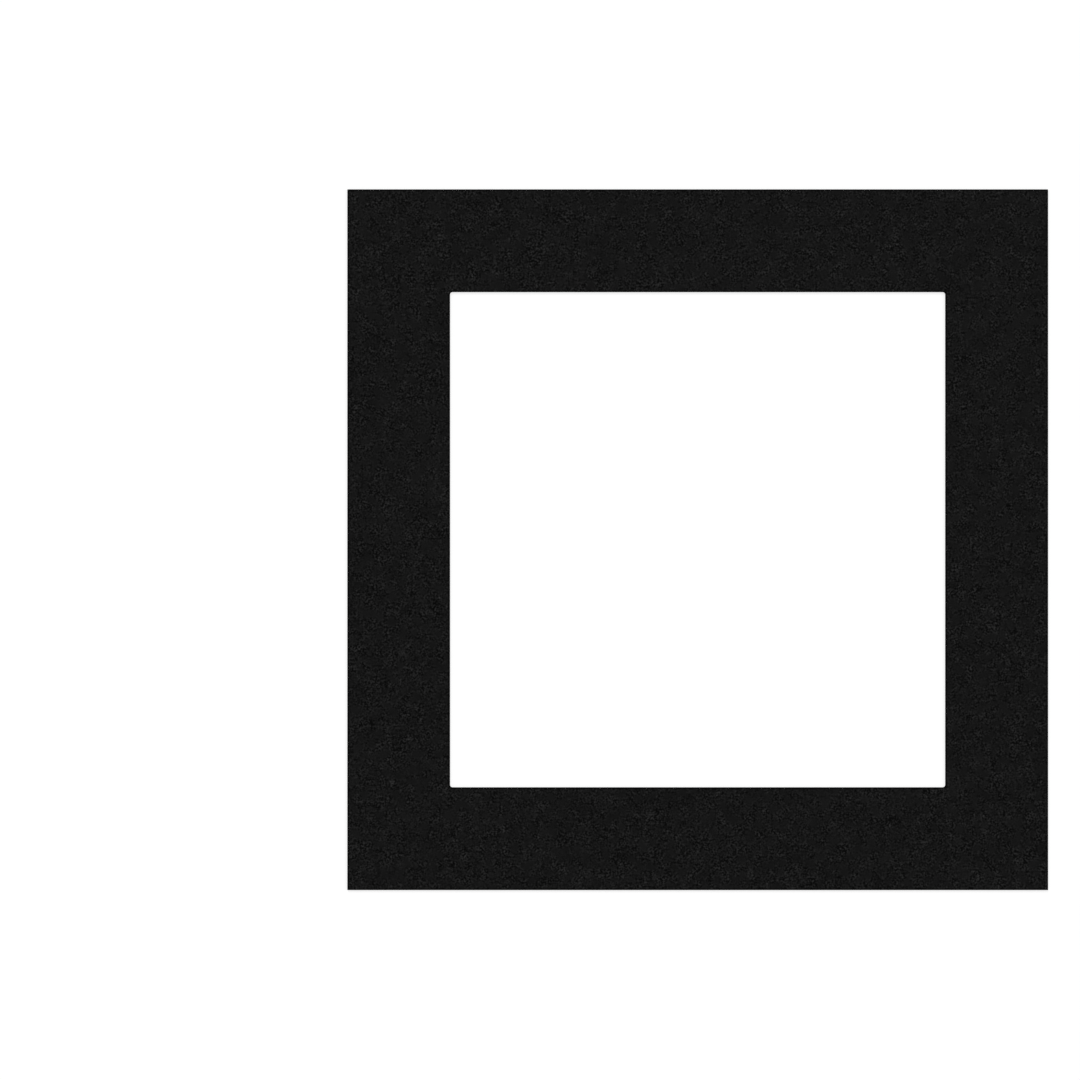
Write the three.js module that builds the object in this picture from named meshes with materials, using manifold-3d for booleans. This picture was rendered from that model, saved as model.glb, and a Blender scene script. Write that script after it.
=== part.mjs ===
// Square picture mount cut from one sheet of solid black board, with a square window.
// It lies flat with its face up. The origin is the centre of the sheet on its back face.
// Millimetres, +X to the right and +Y up as the mount is hung, +Z out of the face.

import * as THREE from "three";
import { mergeVertices } from "three/addons/utils/BufferGeometryUtils.js";
import Module from "manifold-3d";

// Sheet: 12 by 12 inches, in four-ply board
const sheetWidth = 304.8;
const sheetHeight = 304.8;
const boardThickness = 1.4;
const sheetCornerRadius = 0.3;

// Window: nominally 8 1/2 by 8 1/2 inches, cut 0.4 mm under, in the middle of the sheet
const windowWidth = 215.5;
const windowHeight = 215.5;
const windowCornerRadius = 1.1;

// Face arris, rolled over by the knife as it enters; the back arris is left crisp
const faceArrisRadius = 0.2;

// Fineness of the round stretches
const cornerSegments = 4;
const arrisSegments = 4;

// Board that lies below the back face until it is trimmed away
const trimDepth = 1;

// Vertices closer than this are one
const mergeDistance = 1e-5;

// Draws a rectangle with round corners about the origin, anticlockwise.
function drawRoundedRectangle(path, width, height, radius) {
  const cornerX = width / 2 - radius;
  const cornerY = height / 2 - radius;
  const quarter = Math.PI / 2;
  path.moveTo(cornerX + radius, -cornerY);
  path.absarc(cornerX, cornerY, radius, 0, quarter, false);
  path.absarc(-cornerX, cornerY, radius, quarter, 2 * quarter, false);
  path.absarc(-cornerX, -cornerY, radius, 2 * quarter, 3 * quarter, false);
  path.absarc(cornerX, -cornerY, radius, 3 * quarter, 4 * quarter, false);
  return path;
}

// The sheet's outline with the window through it.
function mountOutline() {
  const outline = drawRoundedRectangle(new THREE.Shape(), sheetWidth, sheetHeight, sheetCornerRadius);
  const opening = drawRoundedRectangle(new THREE.Path(), windowWidth, windowHeight, windowCornerRadius);
  outline.holes.push(opening);
  return outline;
}

// The outline at board thickness. Its wall is square to the face and ends in the rolled arris,
// which eats into the board and leaves the outer and window sizes as they are.
// It starts too low, so that its lower arris lies in the part to be trimmed.
function untrimmedBoard() {
  const geometry = new THREE.ExtrudeGeometry(mountOutline(), {
    depth: trimDepth + boardThickness - faceArrisRadius,
    curveSegments: cornerSegments,
    bevelEnabled: true,
    bevelThickness: faceArrisRadius,
    bevelSize: faceArrisRadius,
    bevelOffset: -faceArrisRadius,
    bevelSegments: arrisSegments,
  });
  geometry.translate(0, 0, -trimDepth);
  return geometry;
}

// Everything below the back face, wider than the sheet all round.
function trimBlock() {
  const overhang = 2 * trimDepth;
  const depth = trimDepth + faceArrisRadius + overhang;
  const geometry = new THREE.BoxGeometry(sheetWidth + overhang, sheetHeight + overhang, depth);
  geometry.translate(0, 0, -depth / 2);
  return geometry;
}

const wasm = await Module();
wasm.setup();

// A closed geometry as a solid.
function solidFrom(geometry) {
  const bare = geometry.clone();
  bare.deleteAttribute("normal");
  bare.deleteAttribute("uv");
  const merged = mergeVertices(bare, mergeDistance);
  const mesh = new wasm.Mesh({
    numProp: 3,
    vertProperties: merged.attributes.position.array,
    triVerts: new Uint32Array(merged.index.array),
  });
  return new wasm.Manifold(mesh);
}

// A solid as a geometry with flat faces.
function geometryFrom(solid) {
  const mesh = solid.getMesh();
  const geometry = new THREE.BufferGeometry();
  geometry.setAttribute("position", new THREE.BufferAttribute(mesh.vertProperties, 3));
  geometry.setIndex(new THREE.BufferAttribute(mesh.triVerts, 1));
  const flat = geometry.toNonIndexed();
  flat.computeVertexNormals();
  return flat;
}

// Matt black board, coloured right through
const blackBoard = new THREE.MeshStandardMaterial({ color: "#171717", roughness: 0.9, metalness: 0 });

// The mount: one sheet of board
const mountBoard = new THREE.Mesh(
  geometryFrom(solidFrom(untrimmedBoard()).subtract(solidFrom(trimBlock()))),
  blackBoard,
);
mountBoard.name = "mount_board";

const pictureMount = new THREE.Group();
pictureMount.name = "picture_mount";
pictureMount.add(mountBoard);

export default pictureMount;
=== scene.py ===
"""A square picture mount of matt black board, lying face up on a white table and seen from above."""

import logging
import math
from dataclasses import dataclass, field
from enum import IntEnum

import bmesh
import bpy
from mathutils import Matrix, Vector


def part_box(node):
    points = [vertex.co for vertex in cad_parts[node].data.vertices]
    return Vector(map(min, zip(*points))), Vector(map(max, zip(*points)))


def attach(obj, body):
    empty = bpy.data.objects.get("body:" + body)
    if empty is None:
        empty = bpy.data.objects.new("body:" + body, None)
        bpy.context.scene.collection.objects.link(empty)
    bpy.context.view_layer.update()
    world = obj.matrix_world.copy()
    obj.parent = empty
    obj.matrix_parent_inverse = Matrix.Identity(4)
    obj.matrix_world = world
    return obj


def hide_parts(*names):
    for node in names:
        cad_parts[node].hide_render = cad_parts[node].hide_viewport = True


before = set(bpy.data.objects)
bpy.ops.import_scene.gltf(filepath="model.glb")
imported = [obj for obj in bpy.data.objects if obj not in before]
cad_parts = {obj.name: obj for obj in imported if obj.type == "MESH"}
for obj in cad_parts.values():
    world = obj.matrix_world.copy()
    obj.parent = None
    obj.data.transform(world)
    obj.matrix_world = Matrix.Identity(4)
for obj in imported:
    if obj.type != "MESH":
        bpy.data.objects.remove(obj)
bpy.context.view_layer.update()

MM = 0.001
"""One millimetre in metres."""

LEVEL = 0.999
"""A face is level where its normal is at least this upright."""

log = logging.getLogger("picture_mount")

Socket = bpy.types.NodeSocket
Tree = bpy.types.NodeTree


class Side(IntEnum):
    """The three surfaces of a cut board, in the order of their material slots."""

    FACE = 0
    CUT = 1
    BACK = 2


class NodeSketch:
    """Adds nodes to one tree and links them up."""

    def __init__(self, tree: Tree) -> None:
        """Starts on a tree.

        Args:
            tree: The node tree that takes the nodes.
        """
        self.tree = tree

    def add(self, kind: str, values: dict | None = None, **settings: object) -> bpy.types.Node:
        """Adds one node.

        Args:
            kind: Blender's name of the node type.
            values: Socket names or numbers, each with a constant or with the socket that feeds it.
            settings: Properties of the node itself.

        Returns:
            The new node.
        """
        node = self.tree.nodes.new(kind)
        for name, setting in settings.items():
            setattr(node, name, setting)
        for name, value in (values or {}).items():
            if isinstance(value, Socket):
                self.tree.links.new(value, node.inputs[name])
            else:
                node.inputs[name].default_value = value
        return node

    def feed(self, source: Socket, target: Socket) -> None:
        """Links one socket to another."""
        self.tree.links.new(source, target)

    def group(self, tree: Tree, values: dict) -> dict[str, Socket]:
        """Adds a node group.

        Args:
            tree: The group's own tree.
            values: Input names, each with a constant or with the socket that feeds it.

        Returns:
            The group's outputs by name.
        """
        node = self.add("ShaderNodeGroup", values, node_tree=tree)
        return {socket.name: socket for socket in node.outputs}

    def math(self, operation: str, *values: float | Socket) -> Socket:
        """Adds a Math node.

        Args:
            operation: Blender's name of the operation.
            values: Its operands, in order.

        Returns:
            The result.
        """
        return self.add("ShaderNodeMath", dict(enumerate(values)), operation=operation).outputs[0]

    def scaled(self, vector: Socket | tuple[float, ...], factor: float | Socket) -> Socket:
        """Multiplies a vector or a colour by a number.

        Args:
            vector: The vector or the colour.
            factor: The number.

        Returns:
            The product.
        """
        values = {0: vector, "Scale": factor}
        return self.add("ShaderNodeVectorMath", values, operation="SCALE").outputs[0]

    def smooth_step(self, value: Socket, low: float | Socket, high: float | Socket) -> Socket:
        """Rises smoothly from 0 at low to 1 at high.

        Args:
            value: What is measured.
            low: Where the step begins.
            high: Where it ends.

        Returns:
            The height of the step, from 0 to 1.
        """
        values = {"Value": value, "From Min": low, "From Max": high}
        return self.add("ShaderNodeMapRange", values, interpolation_type="SMOOTHSTEP").outputs["Result"]

    def noise(
        self, vector: Socket, scale: float | Socket, detail: float, roughness: float = 0.5
    ) -> Socket:
        """Adds a noise pattern.

        Args:
            vector: The place, in millimetres.
            scale: Cells to the millimetre.
            detail: Octaves past the first.
            roughness: How strong the finer octaves are.

        Returns:
            The noise, about 0.5 on average.
        """
        values = {"Vector": vector, "Scale": scale, "Detail": detail, "Roughness": roughness}
        return self.add("ShaderNodeTexNoise", values).outputs["Fac"]


def new_material(name: str) -> tuple[bpy.types.Material, NodeSketch]:
    """Starts a material.

    Args:
        name: The material's name.

    Returns:
        The material, and a sketch of its tree, which is empty.
    """
    material = bpy.data.materials.new(name)
    material.use_nodes = True
    material.node_tree.nodes.clear()
    return material, NodeSketch(material.node_tree)


def new_group(
    name: str, inputs: dict[str, float | None], outputs: list[str]
) -> tuple[NodeSketch, dict[str, Socket], dict[str, Socket]]:
    """Starts a shader node group.

    Args:
        name: The group's name.
        inputs: Each input's name with its usual number, or None for a vector.
        outputs: The outputs' names, all of them numbers.

    Returns:
        A sketch of the group's tree, its inputs as sockets to read, and its outputs as sockets to feed.
    """
    tree = bpy.data.node_groups.new(name, "ShaderNodeTree")
    for label, usual in inputs.items():
        kind = "NodeSocketVector" if usual is None else "NodeSocketFloat"
        socket = tree.interface.new_socket(name=label, in_out="INPUT", socket_type=kind)
        if usual is not None:
            socket.default_value = usual
    for label in outputs:
        tree.interface.new_socket(name=label, in_out="OUTPUT", socket_type="NodeSocketFloat")
    sketch = NodeSketch(tree)
    entry = sketch.add("NodeGroupInput")
    way_out = sketch.add("NodeGroupOutput")
    given = {socket.name: socket for socket in entry.outputs if socket.name}
    wanted = {socket.name: socket for socket in way_out.inputs if socket.name}
    return sketch, given, wanted


def new_object(
    name: str, mesh: bmesh.types.BMesh, materials: list[bpy.types.Material]
) -> bpy.types.Object:
    """Makes an object of a finished mesh and puts it in the scene, at the origin.

    Args:
        name: The object's name.
        mesh: The mesh, which is freed.
        materials: The materials, in the order of the faces' material numbers.

    Returns:
        The new object.
    """
    data = bpy.data.meshes.new(name)
    mesh.to_mesh(data)
    mesh.free()
    for material in materials:
        data.materials.append(material)
    made = bpy.data.objects.new(name, data)
    bpy.context.scene.collection.objects.link(made)
    return made


def round_off(mesh: bmesh.types.BMesh, parts: list, radius: float, affect: str, segments: int) -> None:
    """Rounds off corners or edges.

    Args:
        mesh: The mesh that they are on.
        parts: The corners, as vertices, or the edges.
        radius: The radius of a round at a right angle.
        affect: VERTICES for corners and EDGES for edges.
        segments: The number of flats in each round.
    """
    bmesh.ops.bevel(
        mesh,
        geom=parts,
        offset=radius,
        offset_type="OFFSET",
        affect=affect,
        segments=segments,
        profile=0.5,
        material=-1,
    )


class BoardPatterns:
    """The node groups that the surfaces of the board share. Each is built once."""

    NOISE_MEAN = 0.5
    """The mean of a soft noise pattern."""
    NOISE_SPREAD = 0.11
    """Its standard deviation."""
    LUMP_ROUGHNESS = 0.3
    """How strong the finer bumps on the tooth's lumps are."""
    GRIT_TO_A_LUMP = 4.3
    """How many grains of grit lie side by side on a lump of the tooth."""
    CLOUD_ROUGHNESS = 0.6
    """How strong the smaller clouds of the mottle are."""
    FIBRE_TURNS = (20, 75, 140)
    """The ways that fibres lie, in degrees."""
    FIBRE_BENDS = 0.9
    """Bends in a fibre to the millimetre."""
    FIBRE_SWAY = 0.7
    """Millimetres that the bends reach."""
    FIBRE_CELLS = 0.5
    """Cells of the pattern to a fibre's length, and to its width."""
    FIBRE_CORE = 0.15
    """Where a fibre starts to fade, as a share of its cell."""
    FIBRE_RIM = 0.32
    """Where it has faded away."""
    TEAR_RIPPLES = 0.6
    """Ripples in a torn edge to the millimetre."""
    TEAR_SWAY = 0.35
    """How far the ripples reach, as a share of the thickness."""
    TEAR_WIDTH = 0.12
    """The width of the change from clean to torn, as a share of the thickness."""
    SEAM_SWAY = 0.2
    """How much of the ripples the seams between the plies follow."""
    SEAM_CORE = 0.04
    """Where a seam starts to fade, as a share of a ply."""
    SEAM_RIM = 0.16
    """Where it has faded away."""
    TONE_POWER = 1.5
    """Turns steps of tone into light. It is low enough that dark specks show as much as pale ones."""

    def __init__(self) -> None:
        """Builds all the groups."""
        self.tooth = self._paper_tooth()
        self.mottle = self._soft_mottle()
        self.fibres = self._pulp_fibres()
        self.outline = self._outline_distance()
        self.press = self._pressed_edge()
        self.plies = self._cut_plies()
        self.tone = self._board_tone()

    def _signed(self, sketch: NodeSketch, noise: Socket) -> Socket:
        """Turns a noise into a number with a mean of 0 and a spread of about 1."""
        return sketch.math("DIVIDE", sketch.math("SUBTRACT", noise, self.NOISE_MEAN), self.NOISE_SPREAD)

    def _paper_tooth(self) -> Tree:
        """The fine grain of the facing paper: lumps with a finer grit on them, stronger here and there.

        Returns:
            The group. Height is the relief, about 0.5 on average. Tone has a mean of 0 and a spread of
            about 1.
        """
        inputs = {
            "Millimetres": None,
            "Grain Size": 0.8,
            "Grit Share": 0.3,
            "Patch Size": 3.0,
            "Patch Depth": 0.3,
        }
        sketch, given, out = new_group("Paper Tooth", inputs, ["Height", "Tone"])
        cells = sketch.math("DIVIDE", 1.0, given["Grain Size"])
        lumps = sketch.noise(given["Millimetres"], cells, detail=1.0, roughness=self.LUMP_ROUGHNESS)
        grit_cells = sketch.math("MULTIPLY", cells, self.GRIT_TO_A_LUMP)
        grit = sketch.noise(given["Millimetres"], grit_cells, detail=1.0)
        centred = sketch.math("SUBTRACT", grit, self.NOISE_MEAN)
        even = sketch.math("ADD", lumps, sketch.math("MULTIPLY", centred, given["Grit Share"]))
        patch_cells = sketch.math("DIVIDE", 1.0, given["Patch Size"])
        patches = self._signed(sketch, sketch.noise(given["Millimetres"], patch_cells, detail=0.0))
        swayed = sketch.math("MULTIPLY_ADD", patches, given["Patch Depth"], 1.0)
        strength = sketch.math("MAXIMUM", swayed, 0.0)
        rise = sketch.math("SUBTRACT", even, self.NOISE_MEAN)
        relief = sketch.math("MULTIPLY_ADD", rise, strength, self.NOISE_MEAN)
        sketch.feed(relief, out["Height"])
        sketch.feed(self._signed(sketch, relief), out["Tone"])
        return sketch.tree

    def _soft_mottle(self) -> Tree:
        """Wide, faint clouds where the pulp lies thicker or thinner.

        Returns:
            The group. Tone has a mean of 0 and a spread of about 1.
        """
        inputs = {"Millimetres": None, "Patch Size": 9.0}
        sketch, given, out = new_group("Soft Mottle", inputs, ["Tone"])
        cells = sketch.math("DIVIDE", 1.0, given["Patch Size"])
        clouds = sketch.noise(given["Millimetres"], cells, detail=2.0, roughness=self.CLOUD_ROUGHNESS)
        sketch.feed(self._signed(sketch, clouds), out["Tone"])
        return sketch.tree

    def _fibres_one_way(
        self, sketch: NodeSketch, given: dict[str, Socket], place: Socket, turn: int
    ) -> Socket:
        """Draws the fibres that lie much the same way.

        Args:
            sketch: The nodes of the fibres' group.
            given: The group's inputs.
            place: The place in millimetres, swayed so that the fibres bend.
            turn: The way that they lie, in degrees.

        Returns:
            A mask, 1 along a fibre.
        """
        rotation = (0, 0, math.radians(turn))
        turned = sketch.add("ShaderNodeMapping", {"Vector": place, "Rotation": rotation}).outputs[0]
        axes = sketch.add("ShaderNodeSeparateXYZ", {0: turned}).outputs
        drawn = {
            "X": sketch.math("DIVIDE", axes["X"], given["Length"]),
            "Y": sketch.math("DIVIDE", axes["Y"], given["Width"]),
            "Z": float(turn),
        }
        cells = {
            "Vector": sketch.add("ShaderNodeCombineXYZ", drawn).outputs[0],
            "Scale": self.FIBRE_CELLS,
        }
        cell = sketch.add("ShaderNodeTexVoronoi", cells, feature="F1").outputs
        clear = sketch.smooth_step(cell["Distance"], self.FIBRE_CORE, self.FIBRE_RIM)
        pick = sketch.add("ShaderNodeSeparateColor", {0: cell["Color"]}).outputs[0]
        kept = sketch.math("LESS_THAN", pick, given["Share Kept"])
        return sketch.math("MULTIPLY", sketch.math("SUBTRACT", 1.0, clear), kept)

    def _pulp_fibres(self) -> Tree:
        """Scattered short fibres that show a little paler in the paper.

        Returns:
            The group. Mask is 1 along a fibre and 0 elsewhere.
        """
        inputs = {"Millimetres": None, "Length": 1.6, "Width": 0.12, "Share Kept": 0.2}
        sketch, given, out = new_group("Pulp Fibres", inputs, ["Mask"])
        bends = {"Vector": given["Millimetres"], "Scale": self.FIBRE_BENDS, "Detail": 0.0}
        sway = sketch.scaled(sketch.add("ShaderNodeTexNoise", bends).outputs["Color"], self.FIBRE_SWAY)
        shifted = {0: given["Millimetres"], 1: sway}
        place = sketch.add("ShaderNodeVectorMath", shifted, operation="ADD").outputs[0]
        found = 0.0
        for turn in self.FIBRE_TURNS:
            found = sketch.math("MAXIMUM", found, self._fibres_one_way(sketch, given, place, turn))
        sketch.feed(found, out["Mask"])
        return sketch.tree

    def _outline_distance(self) -> Tree:
        """The distance to a square outline with round corners, seen from above.

        Returns:
            The group. Distance is in millimetres, positive outside the outline and negative inside.
        """
        inputs = {"Millimetres": None, "Half Side": 100.0, "Corner Radius": 1.0}
        sketch, given, out = new_group("Outline Distance", inputs, ["Distance"])
        axes = sketch.add("ShaderNodeSeparateXYZ", {0: given["Millimetres"]})
        core = sketch.math("SUBTRACT", given["Half Side"], given["Corner Radius"])
        past_x = sketch.math("SUBTRACT", sketch.math("ABSOLUTE", axes.outputs["X"]), core)
        past_y = sketch.math("SUBTRACT", sketch.math("ABSOLUTE", axes.outputs["Y"]), core)
        out_x = sketch.math("MAXIMUM", past_x, 0.0)
        out_y = sketch.math("MAXIMUM", past_y, 0.0)
        squares = sketch.math("MULTIPLY_ADD", out_x, out_x, sketch.math("MULTIPLY", out_y, out_y))
        outside = sketch.math("SQRT", squares)
        inside = sketch.math("MINIMUM", sketch.math("MAXIMUM", past_x, past_y), 0.0)
        total = sketch.math("SUBTRACT", sketch.math("ADD", outside, inside), given["Corner Radius"])
        sketch.feed(total, out["Distance"])
        return sketch.tree

    def _pressed_edge(self) -> Tree:
        """The narrow band beside each cut, where the knife pressed the paper down.

        Returns:
            The group. Mask is 1 at the cut and falls to 0 over the band's width.
        """
        inputs = {
            "Millimetres": None,
            "Half Sheet": 152.4,
            "Sheet Radius": 0.3,
            "Half Window": 107.75,
            "Window Radius": 1.1,
            "Band": 1.0,
        }
        sketch, given, out = new_group("Pressed Edge", inputs, ["Mask"])
        reaches = []
        for shape in ("Sheet", "Window"):
            values = {
                "Millimetres": given["Millimetres"],
                "Half Side": given[f"Half {shape}"],
                "Corner Radius": given[f"{shape} Radius"],
            }
            reaches.append(sketch.group(self.outline, values)["Distance"])
        to_outside = sketch.math("MULTIPLY", reaches[0], -1.0)
        nearest = sketch.math("MINIMUM", to_outside, reaches[1])
        clear = sketch.smooth_step(nearest, 0.0, given["Band"])
        sketch.feed(sketch.math("SUBTRACT", 1.0, clear), out["Mask"])
        return sketch.tree

    def _cut_plies(self) -> Tree:
        """What a cut shows of the board's make: clean under the face, torn lower down, in layers.

        Returns:
            The group. Seam is 1 where two plies meet, and Torn where the board broke before the knife.
        """
        inputs = {"Millimetres": None, "Thickness": 1.4, "Plies": 4.0, "Clean Share": 0.4}
        sketch, given, out = new_group("Cut Plies", inputs, ["Seam", "Torn"])
        ripple = sketch.noise(given["Millimetres"], self.TEAR_RIPPLES, detail=2.0)
        sway = sketch.math("MULTIPLY", sketch.math("SUBTRACT", ripple, self.NOISE_MEAN), self.TEAR_SWAY)
        height = sketch.add("ShaderNodeSeparateXYZ", {0: given["Millimetres"]}).outputs["Z"]
        level = sketch.math("DIVIDE", height, given["Thickness"])
        swayed = sketch.math("MULTIPLY_ADD", sway, self.SEAM_SWAY, level)
        layer = sketch.math("MULTIPLY", swayed, given["Plies"])
        from_seam = sketch.math("ABSOLUTE", sketch.math("SUBTRACT", layer, sketch.math("ROUND", layer)))
        past_seam = sketch.smooth_step(from_seam, self.SEAM_CORE, self.SEAM_RIM)
        sketch.feed(sketch.math("SUBTRACT", 1.0, past_seam), out["Seam"])
        depth = sketch.math("ADD", sketch.math("SUBTRACT", 1.0, level), sway)
        torn_from = sketch.math("ADD", given["Clean Share"], self.TEAR_WIDTH)
        sketch.feed(sketch.smooth_step(depth, given["Clean Share"], torn_from), out["Torn"])
        return sketch.tree

    def _board_tone(self) -> Tree:
        """Adds up what makes the dye lighter or darker.

        Returns:
            The group. Factor goes on the base colour, and is 1 where all the tones are 0.
        """
        inputs = {
            "Tooth": 0.0,
            "Tooth Depth": 0.3,
            "Mottle": 0.0,
            "Mottle Depth": 0.07,
            "Fibre": 0.0,
            "Fibre Lift": 0.2,
            "Dark": 0.0,
            "Dark Depth": 0.5,
        }
        sketch, given, out = new_group("Board Tone", inputs, ["Factor"])
        total = sketch.math("MULTIPLY_ADD", given["Tooth"], given["Tooth Depth"], 1.0)
        total = sketch.math("MULTIPLY_ADD", given["Mottle"], given["Mottle Depth"], total)
        total = sketch.math("MULTIPLY_ADD", given["Fibre"], given["Fibre Lift"], total)
        loss = sketch.math("MULTIPLY", given["Dark"], given["Dark Depth"])
        total = sketch.math("MAXIMUM", sketch.math("SUBTRACT", total, loss), 0.0)
        sketch.feed(sketch.math("POWER", total, self.TONE_POWER), out["Factor"])
        return sketch.tree


@dataclass(frozen=True)
class BoardFinish:
    """One surface of the black board."""

    name: str
    tone: float
    """The dye's colour, as a linear grey."""
    grain_size: float
    """Millimetres across one lump of the tooth."""
    grit_share: float
    """How strong the grit is beside the lumps."""
    tooth_depth: float
    """How far the tooth sways the tone, as a share."""
    mottle_depth: float
    """How far the clouds sway it."""
    fibre_lift: float
    """How much a fibre adds to it."""
    dark_depth: float
    """How much the pressed band takes off it, or a seam on a cut. Past 1 it ends in plain black."""
    relief: float
    """Millimetres from the tooth's hollows to its tops."""
    roughness: float
    smooth_roughness: float
    """The roughness where the knife pressed or sheared the board smooth."""
    specular: float
    patch_size: float = 3.3
    """Millimetres across a patch where the tooth is stronger or fainter."""
    patch_depth: float = 0.35
    """How far its strength sways from patch to patch, as a share."""
    pressed_flat: float = 0.7
    """How much of the relief is lost where the knife pressed or sheared the board."""
    is_cut: bool = False

    def _smooth_and_dark(
        self, sketch: NodeSketch, patterns: BoardPatterns, board: "MountBoard", here: Socket
    ) -> tuple[Socket, Socket]:
        """Finds where the knife left its mark.

        Args:
            sketch: The material's nodes.
            patterns: The shared node groups.
            board: The board, which gives the cuts' places.
            here: The place, in millimetres.

        Returns:
            The mask of the smooth parts, and the mask of the dark ones.
        """
        if self.is_cut:
            layers = {"Thickness": board.thickness / MM, "Plies": float(board.plies)}
            marks = sketch.group(patterns.plies, {"Millimetres": here, **layers})
            return sketch.math("SUBTRACT", 1.0, marks["Torn"]), marks["Seam"]
        values = {
            "Millimetres": here,
            "Half Sheet": board.width / 2 / MM,
            "Sheet Radius": board.sheet_corner_radius / MM,
            "Half Window": board.window_side / 2 / MM,
            "Window Radius": board.window_corner_radius / MM,
            "Band": board.pressed_band / MM,
        }
        pressed = sketch.group(patterns.press, values)["Mask"]
        return pressed, pressed

    def _colour(
        self, sketch: NodeSketch, patterns: BoardPatterns, here: Socket, tooth: Socket, dark: Socket
    ) -> Socket:
        """Works out the colour.

        Args:
            sketch: The material's nodes.
            patterns: The shared node groups.
            here: The place, in millimetres.
            tooth: The tooth's tone.
            dark: The mask of the dark parts.

        Returns:
            The base colour.
        """
        tones = {
            "Tooth": tooth,
            "Tooth Depth": self.tooth_depth,
            "Mottle": sketch.group(patterns.mottle, {"Millimetres": here})["Tone"],
            "Mottle Depth": self.mottle_depth,
            "Fibre": sketch.group(patterns.fibres, {"Millimetres": here})["Mask"],
            "Fibre Lift": self.fibre_lift,
            "Dark": dark,
            "Dark Depth": self.dark_depth,
        }
        return sketch.scaled((self.tone,) * 3, sketch.group(patterns.tone, tones)["Factor"])

    def _normal(self, sketch: NodeSketch, tooth: Socket, smooth: Socket) -> Socket:
        """Raises the tooth, less so where the board is smooth.

        Args:
            sketch: The material's nodes.
            tooth: The tooth's height.
            smooth: The mask of the smooth parts.

        Returns:
            The surface's normal.
        """
        kept = sketch.math("MULTIPLY_ADD", smooth, -self.pressed_flat, 1.0)
        height = sketch.math("MULTIPLY", tooth, kept)
        values = {"Height": height, "Strength": 1.0, "Distance": self.relief * MM}
        return sketch.add("ShaderNodeBump", values).outputs["Normal"]

    def material(self, patterns: BoardPatterns, board: "MountBoard") -> bpy.types.Material:
        """Builds the material.

        Args:
            patterns: The shared node groups.
            board: The board that the finish is for.

        Returns:
            The new material.
        """
        material, sketch = new_material(self.name)
        here = sketch.scaled(sketch.add("ShaderNodeTexCoord").outputs["Object"], 1 / MM)
        grain = {
            "Millimetres": here,
            "Grain Size": self.grain_size,
            "Grit Share": self.grit_share,
            "Patch Size": self.patch_size,
            "Patch Depth": self.patch_depth,
        }
        tooth = sketch.group(patterns.tooth, grain)
        smooth, dark = self._smooth_and_dark(sketch, patterns, board, here)
        ends = {"Value": smooth, "To Min": self.roughness, "To Max": self.smooth_roughness}
        surface = {
            "Base Color": self._colour(sketch, patterns, here, tooth["Tone"], dark),
            "Roughness": sketch.add("ShaderNodeMapRange", ends).outputs["Result"],
            "Specular IOR Level": self.specular,
            "Normal": self._normal(sketch, tooth["Height"], smooth),
        }
        shader = sketch.add("ShaderNodeBsdfPrincipled", surface)
        sketch.add("ShaderNodeOutputMaterial", {"Surface": shader.outputs["BSDF"]})
        return material


FACE_PAPER = BoardFinish(
    name="black_face_paper",
    tone=0.00556,
    grain_size=0.8,
    grit_share=0.15,
    tooth_depth=0.368,
    mottle_depth=0.072,
    fibre_lift=0.19,
    dark_depth=1.3,
    relief=0.03,
    roughness=0.65,
    smooth_roughness=0.6,
    specular=0.03,
)
CUT_PULP = BoardFinish(
    name="black_cut_pulp",
    tone=0.016,
    grain_size=0.3,
    grit_share=0.6,
    tooth_depth=0.25,
    mottle_depth=0.08,
    fibre_lift=0.5,
    dark_depth=0.3,
    relief=0.08,
    roughness=0.9,
    smooth_roughness=0.7,
    specular=0.06,
    is_cut=True,
)
BACK_PAPER = BoardFinish(
    name="black_back_paper",
    tone=0.0075,
    grain_size=1.3,
    grit_share=0.3,
    tooth_depth=0.16,
    mottle_depth=0.08,
    fibre_lift=0.33,
    dark_depth=0.23,
    relief=0.03,
    roughness=0.75,
    smooth_roughness=0.7,
    specular=0.1,
)


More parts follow.
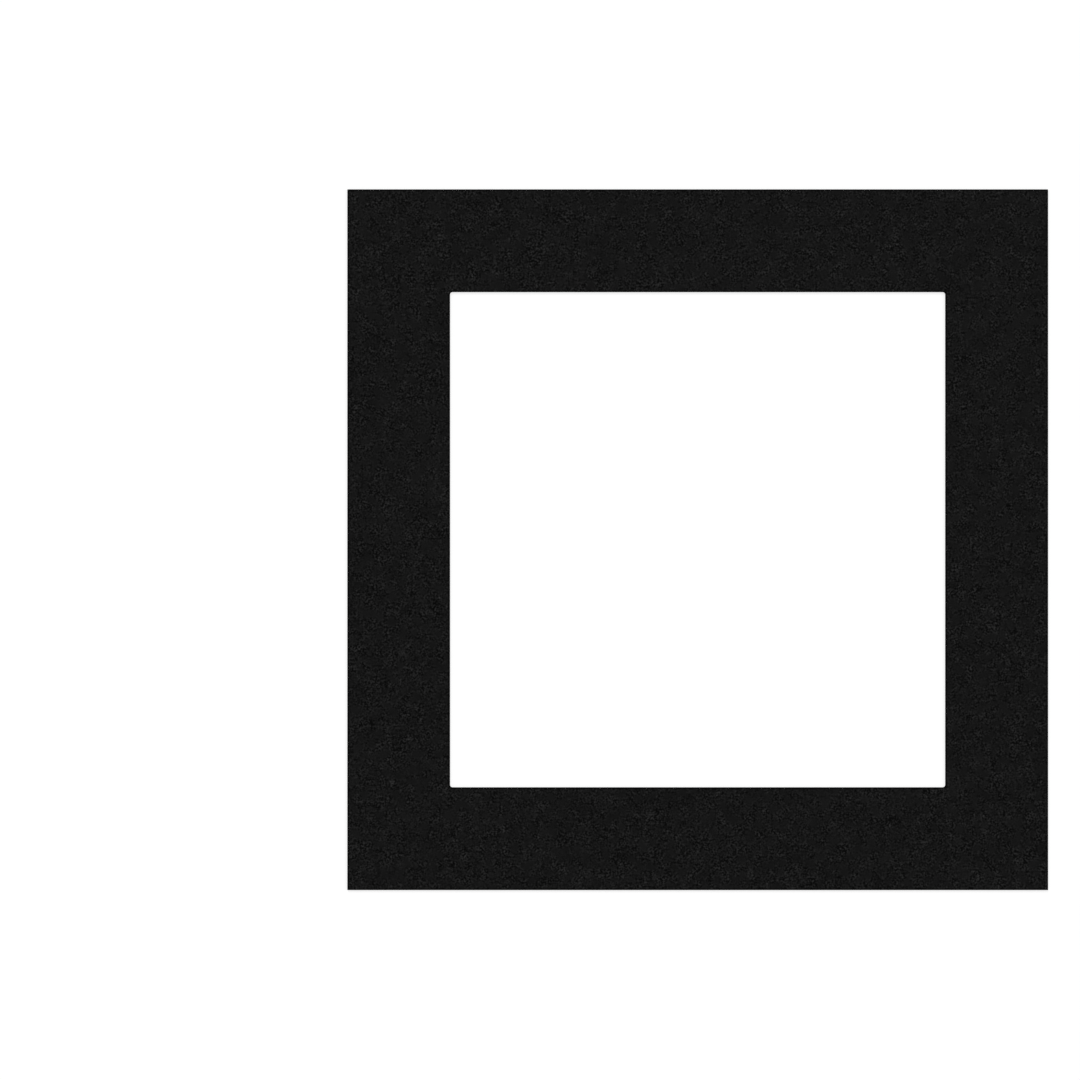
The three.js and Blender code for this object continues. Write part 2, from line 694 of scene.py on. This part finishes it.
@dataclass
class MountBoard:
    """The one sheet of board, with its window cut out."""

    node: str = "mount_board"
    window_side: float = 215.5 * MM
    window_corner_radius: float = 1.1 * MM
    sheet_corner_radius: float = 0.3 * MM
    face_arris_radius: float = 0.2 * MM
    pressed_band: float = 1.0 * MM
    """The width of the band beside each cut that the knife pressed."""
    plies: int = 4
    corner_segments: int = 8
    """Flats in each round corner."""
    arris_segments: int = 6
    """Flats across the rolled arris."""
    low: Vector = field(init=False)
    """The sheet's lowest corner in the frame."""
    high: Vector = field(init=False)

    def __post_init__(self) -> None:
        """Takes the sheet's size and place from the frame."""
        self.low, self.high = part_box(self.node)

    @property
    def width(self) -> float:
        """The sheet's width, in metres."""
        return self.high.x - self.low.x

    @property
    def height(self) -> float:
        """The sheet's height as it hangs, in metres."""
        return self.high.y - self.low.y

    @property
    def thickness(self) -> float:
        """The board's thickness, in metres."""
        return self.high.z - self.low.z

    def _add_outline(self, mesh: bmesh.types.BMesh, width: float, height: float, radius: float) -> None:
        """Adds a flat rectangle with round corners, centred on the sheet.

        Args:
            mesh: The mesh that takes it.
            width: Its size along X.
            height: Its size along Y.
            radius: The radius of its corners.
        """
        corners = bmesh.ops.create_grid(mesh, x_segments=1, y_segments=1, size=0.5)["verts"]
        bmesh.ops.scale(mesh, vec=(width, height, 1), verts=corners)
        middle = (self.low + self.high) / 2
        bmesh.ops.translate(mesh, vec=(middle.x, middle.y, self.low.z), verts=corners)
        round_off(mesh, corners, radius, "VERTICES", self.corner_segments)

    def _ring(self, mesh: bmesh.types.BMesh) -> None:
        """Makes the flat ring between the sheet's outline and the window's.

        Args:
            mesh: The mesh that takes it.
        """
        self._add_outline(mesh, self.width, self.height, self.sheet_corner_radius)
        self._add_outline(mesh, self.window_side, self.window_side, self.window_corner_radius)
        bmesh.ops.delete(mesh, geom=mesh.faces[:], context="FACES_ONLY")
        bmesh.ops.bridge_loops(mesh, edges=mesh.edges[:])

    def _thicken(self, mesh: bmesh.types.BMesh) -> None:
        """Raises the ring to the board's thickness. The first ring stays as the back.

        Args:
            mesh: The mesh, which holds the ring.
        """
        made = bmesh.ops.extrude_face_region(mesh, geom=mesh.faces[:])["geom"]
        raised = [item for item in made if isinstance(item, bmesh.types.BMVert)]
        bmesh.ops.translate(mesh, vec=(0, 0, self.thickness), verts=raised)
        bmesh.ops.recalc_face_normals(mesh, faces=mesh.faces[:])

    def _roll_arris(self, mesh: bmesh.types.BMesh) -> None:
        """Rounds the edges where the face meets the cuts.

        Args:
            mesh: The mesh of the board, square at every edge.
        """
        mesh.normal_update()
        rims = []
        for edge in mesh.edges:
            rises = [face.normal.z for face in edge.link_faces]
            if max(rises) > LEVEL and abs(min(rises)) < 1 - LEVEL:
                rims.append(edge)
        round_off(mesh, rims, self.face_arris_radius, "EDGES", self.arris_segments)

    def _sort_faces(self, mesh: bmesh.types.BMesh) -> None:
        """Gives each face its side of the board, and keeps the flats crisp beside the round stretches.

        Args:
            mesh: The mesh of the whole board.
        """
        mesh.normal_update()
        wall_top = self.high.z - self.face_arris_radius
        for face in mesh.faces:
            face.smooth = True
            if face.normal.z < -LEVEL:
                face.material_index = Side.BACK
            elif face.calc_center_median().z < wall_top:
                face.material_index = Side.CUT
            else:
                face.material_index = Side.FACE
        for edge in mesh.edges:
            flats = [face for face in edge.link_faces if abs(face.normal.z) > LEVEL]
            sides = {face.material_index for face in edge.link_faces}
            edge.smooth = len(flats) != 1 and len(sides) == 1

    def build(self, patterns: BoardPatterns) -> bpy.types.Object:
        """Models the board and dresses it.

        Args:
            patterns: The shared node groups.

        Returns:
            The finished piece.
        """
        mesh = bmesh.new()
        self._ring(mesh)
        self._thicken(mesh)
        self._roll_arris(mesh)
        self._sort_faces(mesh)
        StripMap(self).lay_out(mesh)
        finishes = (FACE_PAPER, CUT_PULP, BACK_PAPER)
        materials = [finish.material(patterns, self) for finish in finishes]
        piece = new_object("mount_sheet", mesh, materials)
        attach(piece, "root")
        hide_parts(self.node)
        return piece


@dataclass
class StripMap:
    """The board's own map for baked finishes: its surfaces as level strips, the face's the widest."""

    board: MountBoard
    name: str = "OFBake"
    face_strip: float = 0.14
    """Height of each strip of the face, as a share of the map's."""
    cut_strip: float = 0.01
    back_strip: float = 0.074
    gap: float = 0.004
    """Room between two strips, as a share of the map's height."""
    edges: int = 4
    """Edges of the sheet, each with its own strips."""

    def _bottom(self, side: Side, turn: int, at_window: bool) -> tuple[float, float]:
        """Finds a strip.

        Args:
            side: The surface that it shows.
            turn: Which of the four edges it runs along.
            at_window: Whether a cut is the window's.

        Returns:
            The height of the strip's lower edge on the map, and the strip's own height.
        """
        if side == Side.FACE:
            return turn * (self.face_strip + self.gap) + self.gap / 2, self.face_strip
        below = self.edges * (self.face_strip + self.gap)
        if side == Side.BACK:
            return below + turn * (self.back_strip + self.gap) + self.gap / 2, self.back_strip
        below += self.edges * (self.back_strip + self.gap)
        place = turn + self.edges * at_window
        return below + place * (self.cut_strip + self.gap) + self.gap / 2, self.cut_strip

    def _across(self, side: Side, reach: float, level: float) -> float:
        """Finds how far up its strip a point lies, with the rolled arris laid flat.

        Args:
            side: The surface that it is on.
            reach: Its distance from the sheet's middle, square to the edge.
            level: Its height above the back.

        Returns:
            The share of the strip's height.
        """
        board = self.board
        radius = board.face_arris_radius
        if side == Side.CUT:
            return level / (board.thickness - radius)
        window = board.window_side / 2
        border = board.width / 2 - window
        if side == Side.BACK:
            return (reach - window) / border
        drop = min(max(board.thickness - level, 0.0), radius)
        turned = math.acos(1 - drop / radius)
        unrolled = radius * (turned - math.sin(turned))
        outward = 1 if reach > window + border / 2 else -1
        spare = radius * (math.pi / 2 - 1)
        return (reach + outward * unrolled - window + spare) / (border + 2 * spare)

    def lay_out(self, mesh: bmesh.types.BMesh) -> None:
        """Gives every face its place on the map.

        Args:
            mesh: The board's finished mesh, with its faces sorted.
        """
        layer = mesh.loops.layers.uv.new(self.name)
        long_side = self.board.width * (1 + self.gap)
        border_middle = (self.board.width + self.board.window_side) / 4
        for face in mesh.faces:
            side = Side(face.material_index)
            middle = face.calc_center_median()
            turn = round(math.atan2(middle.x, middle.y) / (math.pi / 2)) % self.edges
            spin = Matrix.Rotation(turn * math.pi / 2, 3, "Z")
            bottom, height = self._bottom(side, turn, (spin @ middle).y < border_middle)
            for loop in face.loops:
                point = spin @ loop.vert.co
                rise = self._across(side, point.y, point.z - self.board.low.z)
                loop[layer].uv = (0.5 + point.x / long_side, bottom + height * rise)


@dataclass(frozen=True)
class Lamp:
    """A broad, distant lamp."""

    name: str
    share: float
    """The brightness that it alone gives a white level surface."""
    azimuth: float
    """Degrees from +Y towards +X, to the lamp."""
    elevation: float
    """Degrees above the table."""
    softness: float
    """The lamp's width, in degrees."""

    def add(self) -> None:
        """Puts the lamp in the scene."""
        light = bpy.data.lights.new(self.name, "SUN")
        light.angle = math.radians(self.softness)
        light.energy = self.share * math.pi / math.sin(math.radians(self.elevation))
        holder = bpy.data.objects.new(self.name, light)
        holder.rotation_euler = (math.radians(self.elevation - 90), 0, math.radians(-self.azimuth))
        bpy.context.scene.collection.objects.link(holder)


KEY_LAMP = Lamp("key", share=0.3, azimuth=-20, elevation=50, softness=20)
FILL_LAMP = Lamp("fill", share=0.2, azimuth=80, elevation=55, softness=40)


@dataclass
class Studio:
    """The white table, the plain soft light and the camera."""

    board: MountBoard
    photo_side: float = 1080.0
    """Pixels along each side of the photograph."""
    sheet_left: float = 347.88
    """The sheet's left edge in the photograph, in pixels."""
    sheet_right: float = 1047.60
    sheet_top: float = 188.71
    sheet_bottom: float = 890.71
    lens: float = 120.0
    """Focal length in millimetres."""
    sensor: float = 36.0
    """Width of the camera's sensor in millimetres."""
    sight: float = 50.0
    """Metres that the camera sees."""
    table_half: float = 6.0
    """Half the table's side, in metres."""
    table_gap: float = 0.02 * MM
    """How far the table lies under the board, so that the two surfaces don't fight."""
    table_grey: float = 0.3
    """The table's colour, as a linear grey."""
    table_glow: float = 0.72
    """Light that the camera sees from the table, beside what it reflects."""
    sky: float = 0.5
    """The brightness that the sky alone gives a white level surface."""

    def _camera_sees(self, sketch: NodeSketch) -> Socket:
        """Tells the rays that see the white surroundings from those that light the board.

        Args:
            sketch: The nodes of the table or of the world.

        Returns:
            1 for what is seen directly, in a gloss or through glass, and 0 for the light.
        """
        rays = sketch.add("ShaderNodeLightPath").outputs
        seen = sketch.math("MAXIMUM", rays["Is Camera Ray"], rays["Is Glossy Ray"])
        return sketch.math("MAXIMUM", seen, rays["Is Transmission Ray"])

    def _table_material(self) -> bpy.types.Material:
        """Makes a table that takes the board's shadow and is white to the camera.

        Returns:
            The table's material.
        """
        material, sketch = new_material("white_table")
        glow = sketch.math("MULTIPLY", self._camera_sees(sketch), self.table_glow)
        paint = sketch.add("ShaderNodeBsdfDiffuse", {"Color": (*(self.table_grey,) * 3, 1)})
        light = sketch.add("ShaderNodeEmission", {"Strength": glow})
        both = sketch.add("ShaderNodeAddShader", {0: paint.outputs[0], 1: light.outputs[0]})
        sketch.add("ShaderNodeOutputMaterial", {"Surface": both.outputs[0]})
        return material

    def add_table(self) -> None:
        """Lays the table just under the board."""
        mesh = bmesh.new()
        bmesh.ops.create_grid(mesh, x_segments=1, y_segments=1, size=self.table_half)
        bmesh.ops.translate(mesh, vec=(0, 0, self.board.low.z - self.table_gap), verts=mesh.verts[:])
        new_object("table", mesh, [self._table_material()])

    def add_sky(self) -> None:
        """Lights the board evenly from all round, with a world that is white to the camera."""
        world = bpy.data.worlds.new("studio")
        world.use_nodes = True
        world.node_tree.nodes.clear()
        sketch = NodeSketch(world.node_tree)
        ends = {"Value": self._camera_sees(sketch), "To Min": self.sky, "To Max": 1.0}
        strength = sketch.add("ShaderNodeMapRange", ends).outputs["Result"]
        light = sketch.add("ShaderNodeBackground", {"Color": (1, 1, 1, 1), "Strength": strength})
        sketch.add("ShaderNodeOutputWorld", {"Surface": light.outputs[0]})
        bpy.context.scene.world = world

    def add_camera(self) -> None:
        """Hangs the camera over the board, looking straight down, with the photograph's framing."""
        across = self.sheet_right - self.sheet_left
        down = self.sheet_bottom - self.sheet_top
        pixel = (self.board.width + self.board.height) / (across + down)
        half = self.photo_side / 2
        left = pixel * ((self.sheet_left + self.sheet_right) / 2 - half)
        up = pixel * ((self.sheet_top + self.sheet_bottom) / 2 - half)
        distance = pixel * self.photo_side * self.lens / self.sensor
        optics = bpy.data.cameras.new("camera")
        optics.lens = self.lens
        optics.sensor_width = self.sensor
        optics.clip_end = self.sight
        camera = bpy.data.objects.new("camera", optics)
        middle = (self.board.low + self.board.high) / 2
        camera.location = (middle.x - left, middle.y + up, self.board.high.z + distance)
        bpy.context.scene.collection.objects.link(camera)
        bpy.context.scene.camera = camera

    def build(self) -> None:
        """Sets up everything round the board."""
        self.add_table()
        self.add_sky()
        KEY_LAMP.add()
        FILL_LAMP.add()
        self.add_camera()
        bpy.context.scene.view_settings.view_transform = "Standard"


def main() -> None:
    """Builds the board and the studio, and reports the piece."""
    logging.basicConfig(level=logging.INFO, format="%(name)s: %(message)s")
    board = MountBoard()
    piece = board.build(BoardPatterns())
    log.info("%s: %d faces", piece.name, len(piece.data.polygons))
    Studio(board).build()


if __name__ == "__main__":
    main()
